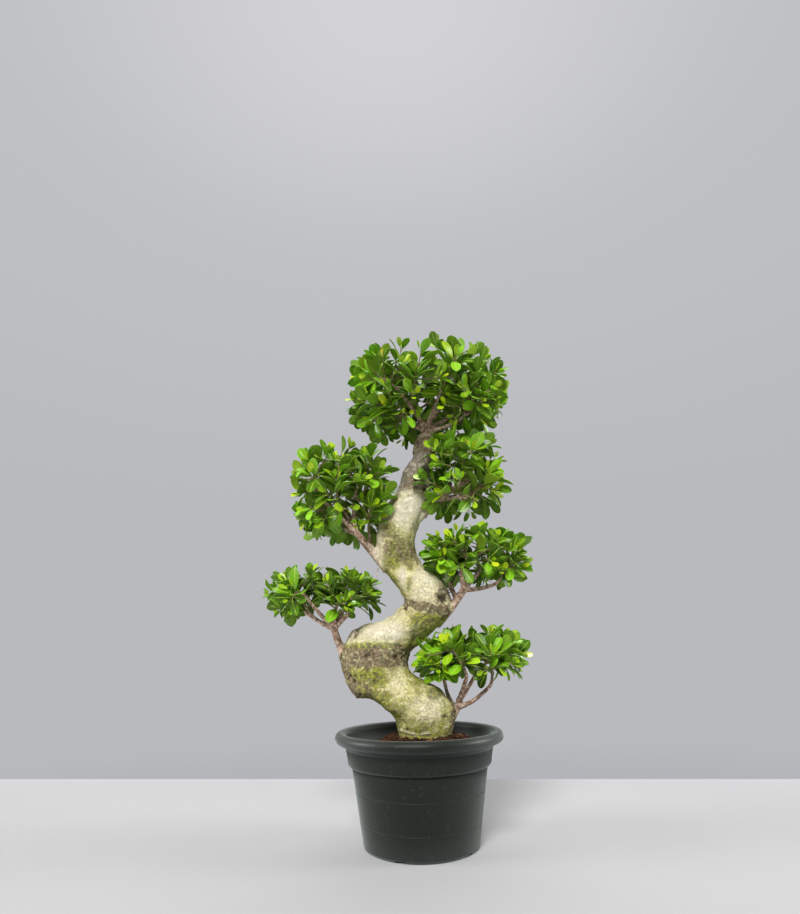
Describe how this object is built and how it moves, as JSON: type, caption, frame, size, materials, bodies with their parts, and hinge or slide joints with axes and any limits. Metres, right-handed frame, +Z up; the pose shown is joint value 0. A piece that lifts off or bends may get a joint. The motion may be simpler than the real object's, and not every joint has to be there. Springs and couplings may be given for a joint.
{
  "type": "ficus ginseng bonsai",
  "caption": "Small ornamental fig tree with an S-shaped trunk and clumps of glossy leaves, rooted in soil in a round plastic pot that stands on a floor or table.",
  "frame": {"origin": "middle of the flat underside of the pot, on the surface that it stands on", "axes": "+Z up along the pot's axis, front of the S-shaped trunk towards -Y, +X to the viewer's right"},
  "size_m": [0.4054, 0.2394, 0.737],
  "materials": {
    "pot": "satin, dark anthracite grey with a green cast",
    "soil": "matte, loose reddish-brown coir and bark potting mix",
    "bark": "matte, pale smooth bark with corky grey-brown bands and yellow-green algae",
    "leaf": "glossy, mid to dark green with pale midribs, yellow-green at the tips"
  },
  "bodies": {
    "root": {"pot": "pot", "soil": "soil", "trunk": "bark", "crown_spray_1": "leaf", "crown_spray_2": "leaf", "crown_spray_3": "leaf", "crown_spray_4": "leaf", "crown_spray_5": "leaf", "crown_spray_6": "leaf", "crown_spray_7": "leaf", "crown_spray_8": "leaf", "crown_spray_9": "leaf", "crown_spray_10": "leaf", "crown_spray_11": "leaf", "crown_spray_12": "leaf", "crown_spray_13": "leaf", "crown_spray_14": "leaf", "upper_left_spray_1": "leaf", "upper_left_spray_2": "leaf", "upper_left_spray_3": "leaf", "upper_left_spray_4": "leaf", "upper_left_spray_5": "leaf", "upper_left_spray_6": "leaf", "upper_left_spray_7": "leaf", "upper_left_spray_8": "leaf", "upper_left_spray_9": "leaf", "upper_right_spray_1": "leaf", "upper_right_spray_2": "leaf", "upper_right_spray_3": "leaf", "upper_right_spray_4": "leaf", "upper_right_spray_5": "leaf", "upper_right_spray_6": "leaf", "middle_right_spray_1": "leaf", "middle_right_spray_2": "leaf", "middle_right_spray_3": "leaf", "middle_right_spray_4": "leaf", "middle_right_spray_5": "leaf", "middle_right_spray_6": "leaf", "middle_right_spray_7": "leaf", "middle_left_spray_1": "leaf", "middle_left_spray_2": "leaf", "middle_left_spray_3": "leaf", "middle_left_spray_4": "leaf", "middle_left_spray_5": "leaf", "middle_left_spray_6": "leaf", "middle_left_spray_7": "leaf", "middle_left_spray_8": "leaf", "lower_right_spray_1": "leaf", "lower_right_spray_2": "leaf", "lower_right_spray_3": "leaf", "lower_right_spray_4": "leaf", "lower_right_spray_5": "leaf", "lower_right_spray_6": "leaf", "lower_right_spray_7": "leaf"}
  },
  "joints": []
}
